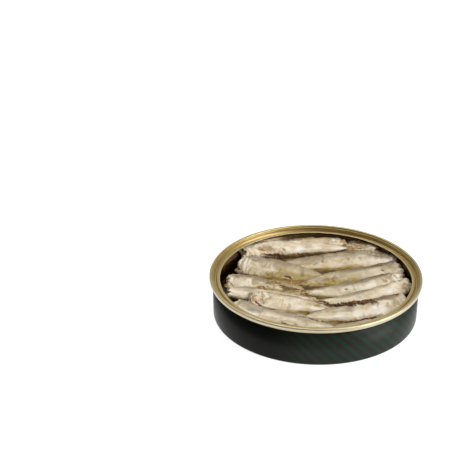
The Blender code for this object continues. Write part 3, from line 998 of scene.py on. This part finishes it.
def build_all_fish(skin):
    """Every fish in place of its solid. Gives all their surface points, for what lies on them."""
    points = []
    for seed, (number, spec) in enumerate(FISH.items(), 1):
        piece = build_fish("sardine_" + number, Fish(*spec), skin, seed * 17)
        stand_for(piece, "fish_" + number)
        flat = np.empty(len(piece.data.vertices) * 3)
        piece.data.vertices.foreach_get("co", flat)
        points.append(flat.reshape(-1, 3))
    return np.concatenate(points)


# What lies on and between the fish


def neighbours(values):
    return [np.roll(values, move, axis) for axis in (0, 1) for move in (-1, 1)]


def height_map(points):
    """The highest fish surface over each cell of a plan grid, or the oil's level where there is none."""
    count = int(2.0 * MAP_REACH / MAP_CELL)
    cells = np.clip(((points[:, :2] + MAP_REACH) / MAP_CELL).astype(int), 0, count - 1)
    heights = np.full((count, count), OIL_LEVEL)
    np.maximum.at(heights, tuple(cells.T), points[:, 2])
    return np.where(heights > OIL_LEVEL, heights, np.median(neighbours(heights), axis=0))


def blurred(values, passes):
    for _ in range(passes):
        values = 0.2 * (values + sum(neighbours(values)))
    return values


def height_at(heights, x, y):
    """Heights at plan places, between the cells' middles."""
    a, b = np.clip((np.array([x, y]) + MAP_REACH) / MAP_CELL - 0.5, 0.0, len(heights) - 1.001)
    i, j = a.astype(int), b.astype(int)
    a, b = a - i, b - j
    near = heights[i, j] * (1 - a) * (1 - b) + heights[i + 1, j] * a * (1 - b)
    return near + heights[i, j + 1] * (1 - a) * b + heights[i + 1, j + 1] * a * b


def dress(name, mesh, material):
    piece = place_mesh(name, mesh, material)
    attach(piece, "root")


def build_residue(heights, material):
    """Brown shreds and thickened juices in the narrow gaps between the fish, as one uneven closed sheet."""
    cells = heights.shape[0]
    middles = (np.arange(cells) + 0.5) * MAP_CELL - MAP_REACH
    x, y = np.meshgrid(middles, middles, indexing="ij")
    flat = np.stack([x, y, 0.0 * x], 2)
    shown = blurred((heights > OIL_LEVEL + 0.3 * MM).astype(float), 60) > 0.15
    shown &= np.hypot(x, y) < RESIDUE_REACH
    top = blurred(heights, 50) - RESIDUE_DROP
    top = top + (0.5 * noise(flat, 3.6 * MM, 71) + 0.2 * noise(flat, 1.4 * MM, 72)) * MM
    top = np.maximum(top, OIL_LEVEL + (0.3 + 0.2 * noise(flat, 2.4 * MM, 73)) * MM)
    index = np.full(heights.shape, -1)
    index[shown] = np.arange(shown.sum())
    high = np.stack([x[shown], y[shown], top[shown]], 1)
    low = high - np.array([0.0, 0.0, RESIDUE_DEPTH])
    count = len(high)
    square = np.stack([index[:-1, :-1], index[1:, :-1], index[1:, 1:], index[:-1, 1:]], 2).reshape(-1, 4)
    square = square[(square >= 0).all(axis=1)]
    faces = square.tolist() + (square[:, ::-1] + count).tolist()
    edges = {}
    for corners in square.tolist():
        edges.update(dict.fromkeys(zip(corners, corners[1:] + corners[:1])))
    faces += [[b, a, a + count, b + count] for a, b in edges if (b, a) not in edges]
    points = np.concatenate([high, low]).tolist()
    dress("residue", closed_mesh("residue", points, faces), material)


def flake(heights, spec, seed):
    """Points and faces of one thin uneven piece of skin or flesh that lies on what is below it."""
    x, y, half_length, half_width, turn, thick = spec
    rings, spokes = 7, 30
    share = (np.arange(rings) + 1.0) / rings
    angle = math.tau * np.arange(spokes) / spokes
    edge = np.stack([np.cos(angle), np.sin(angle), 0.0 * angle], 1)
    uneven = 1.0 + 0.35 * noise(edge, 0.7, seed) + 0.2 * noise(edge, 0.3, seed + 1)
    a = share[:, None] * (np.cos(angle) * uneven)[None] * half_length
    b = share[:, None] * (np.sin(angle) * uneven)[None] * half_width
    a, b = rotated(a, b, math.radians(turn))
    px = (x + a) * MM
    py = (y + b) * MM
    x, y = x * MM, y * MM
    ground = height_at(heights, px, py)
    place = np.stack([px, py, 0.0 * px], 2)
    swell = thick * (1.0 - share[:, None] ** 4) * (0.75 + 0.5 * noise(place, 1.3 * MM, seed + 2))
    swell = swell + 0.22 * noise(place, 0.7 * MM, seed + 3) * (1.0 - share[:, None] ** 2)
    top = np.stack([px, py, ground + swell * MM], 2)
    under = np.stack([px[-1] * 0.98 + x * 0.02, py[-1] * 0.98 + y * 0.02, ground[-1] - 0.5 * MM], 1)
    middles = [[x, y, top[0, :, 2].mean()], [x, y, under[:, 2].min() - 0.3 * MM]]
    points = np.concatenate([top.reshape(-1, 3), under, middles])
    faces = []
    last = rings * spokes
    for j in range(spokes):
        k = (j + 1) % spokes
        for i in range(rings):
            below = (i + 1) * spokes
            faces.append((i * spokes + j, below + j, below + k, i * spokes + k))
        faces.append((last + spokes, j, k))
        faces.append((last + spokes + 1, last + k, last + j))
    return points, faces


def place_bits(name, material, bits):
    """One piece from many bits, each with its points and faces, kept inside the wall."""
    verts = []
    faces = []
    for points, bit_faces in bits:
        faces += [tuple(len(verts) + i for i in face) for face in bit_faces]
        verts += inside_wall(points, BIT_GAP).tolist()
    mesh = bpy.data.meshes.new(name)
    mesh.from_pydata(verts, [], faces)
    dress(name, mesh, material)


def tube_faces(rows, columns):
    """Faces of a closed tube of rows of points."""
    faces = [tuple(range(columns))[::-1], tuple(range((rows - 1) * columns, rows * columns))]
    for start in range(0, (rows - 1) * columns, columns):
        for j in range(columns):
            k = (j + 1) % columns
            faces.append((start + j, start + k, start + columns + k, start + columns + j))
    return faces


def lump(rng, size):
    """Points and faces of one small uneven lump, longest along X."""
    rows, columns = 9, 12
    polar = np.pi * (np.arange(rows) + 0.5) / rows
    turn = math.tau * np.arange(columns) / columns
    polar, turn = np.meshgrid(polar, turn, indexing="ij")
    ball = np.stack([np.cos(polar), np.sin(polar) * np.cos(turn), np.sin(polar) * np.sin(turn)], 2)
    seed = int(rng.integers(1, 9999))
    swell = 1.0 + LUMP_RAGGED * noise(ball, 0.7, seed) + 0.5 * LUMP_RAGGED * noise(ball, 0.35, seed + 1)
    points = ball * swell[..., None] * size * LUMP_STRETCH
    points[..., 1] += rng.uniform(-0.5, 0.5) * points[..., 0] ** 2 / (size * LUMP_STRETCH[0])
    return points.reshape(-1, 3), tube_faces(rows, columns)


def heap(heights, line, count, spread, sizes, seed):
    """Small lumps scattered along a line in plan, lying on the fish."""
    rng = np.random.default_rng(seed)
    line = np.array(line, float) * MM
    steps = np.linalg.norm(np.diff(line, axis=0), axis=1)
    along_line = np.concatenate([[0.0], np.cumsum(steps)])
    for _ in range(count):
        at = rng.uniform(0.0, along_line[-1])
        span = min(int(np.searchsorted(along_line, at, side="right")) - 1, len(steps) - 1)
        share = (at - along_line[span]) / steps[span]
        place = line[span] * (1.0 - share) + line[span + 1] * share
        direction = (line[span + 1] - line[span]) / steps[span]
        place = place + np.array([-direction[1], direction[0]]) * rng.normal(0.0, spread * MM)
        bit, faces = lump(rng, rng.uniform(*sizes) * MM)
        turn = math.atan2(direction[1], direction[0]) + rng.normal(0.0, 0.5)
        pitch = rng.normal(0.0, 0.25)
        rotate = np.array(Matrix.Rotation(turn, 3, "Z") @ Matrix.Rotation(pitch, 3, "Y"))
        yield bit @ rotate.T + np.array([*place, height_at(heights, *place) + 0.1 * MM]), faces


def build_ray(heights, material):
    """One thin fin ray on the fish, a bent strand that is thinner at its ends."""
    steps, sides = 40, 8
    u = np.linspace(0.0, 1.0, steps)
    point, along = spline(FIN_RAY, u)
    z = height_at(heights, point[:, 0], point[:, 1]) + FIN_RAY_LIFT * MM * np.sin(math.pi * u)
    thick = FIN_RAY_RADIUS * MM * (0.35 + 0.65 * np.sin(math.pi * u))
    across = sideways(along)
    verts = []
    for i in range(steps):
        for angle in math.tau * np.arange(sides) / sides:
            flat = point[i] + across[i] * thick[i] * math.cos(angle)
            verts.append((flat[0], flat[1], z[i] + thick[i] * math.sin(angle)))
    dress("fin_ray", closed_mesh("fin_ray", verts, tube_faces(steps, sides)), material)


def build_all_bits(points):
    """What lies loose: shreds in the gaps, flakes of skin and flesh, brown gut bits and a fin ray."""
    raw_heights = height_map(points)
    heights = blurred(raw_heights, 2)
    level = blurred(raw_heights, 16)
    materials = {name: bit_material(name) for name in BIT_COLOURS}
    build_residue(raw_heights, materials["residue_brown"])
    for number, ((name, colour), specs) in enumerate(FLAKES.items(), 1):
        bits = [flake(heights, spec, 1000 * number + 10 * k) for k, spec in enumerate(specs)]
        place_bits(name, materials[colour], bits)
    for name, colour, *how in HEAPS:
        place_bits(name, materials[colour], heap(level, *how))
    build_ray(heights, materials["skin_amber"])


# Stage, lights and camera


def build_stage():
    bpy.ops.mesh.primitive_plane_add(size=6.0, location=(0.0, 0.0, 0.0))
    floor = bpy.context.object
    floor.name = "floor"
    floor.data.materials.append(plain_floor())


def build_lights():
    for name, (place, size, power) in LIGHTS.items():
        data = bpy.data.lights.new(name, "AREA")
        data.shape = "RECTANGLE"
        data.size, data.size_y = size
        data.energy = power
        light = bpy.data.objects.new(name, data)
        light.location = place
        light.rotation_euler = (LIGHT_TARGET - Vector(place)).to_track_quat("-Z", "Y").to_euler()
        bpy.context.scene.collection.objects.link(light)
    world = bpy.data.worlds.new("studio")
    bpy.context.scene.world = world
    nodes = Nodes(world, "Background")
    where = nodes.add("ShaderNodeTexCoord", {})["Generated"]
    towards = nodes.add("ShaderNodeVectorMath", {0: where, 1: BRIGHT_SIDE}, operation="DOT_PRODUCT")["Value"]
    nodes.shade({"Color": WHITE, "Strength": nodes.ramp(towards, -0.6, 0.8, 0.08, 0.4)})


def build_camera():
    """Looks at the middle of the base from the front, then turns until that point is at its pixel."""
    data = bpy.data.cameras.new("camera")
    data.sensor_width = SENSOR
    data.lens = FOCAL_PIXELS / FRAME_PIXELS * SENSOR
    data.clip_end = 20.0
    camera = bpy.data.objects.new("camera", data)
    bpy.context.scene.collection.objects.link(camera)
    looking = Matrix.Rotation(math.pi / 2.0 - CAMERA_ELEVATION, 4, "X")
    place = looking @ Vector((0.0, 0.0, CAMERA_DISTANCE))
    middle = FRAME_PIXELS / 2.0
    seen = Vector((BASE_PIXEL_X - middle, middle - BASE_PIXEL_Y, -FOCAL_PIXELS)).normalized()
    turn = seen.rotation_difference(Vector((0.0, 0.0, -1.0))).to_matrix().to_4x4()
    roll = Matrix.Rotation(CAMERA_ROLL, 4, "Z")
    camera.matrix_world = Matrix.Translation(place) @ looking @ roll @ turn
    bpy.context.scene.camera = camera


def main():
    bpy.context.scene.view_settings.view_transform = "Standard"
    build_camera()
    build_stage()
    build_lights()
    build_can(green_lacquer(), inside_lacquer())
    build_rim(gold_lacquer())
    build_oil(oil_liquid())
    build_all_bits(build_all_fish(fish_skin()))


main()
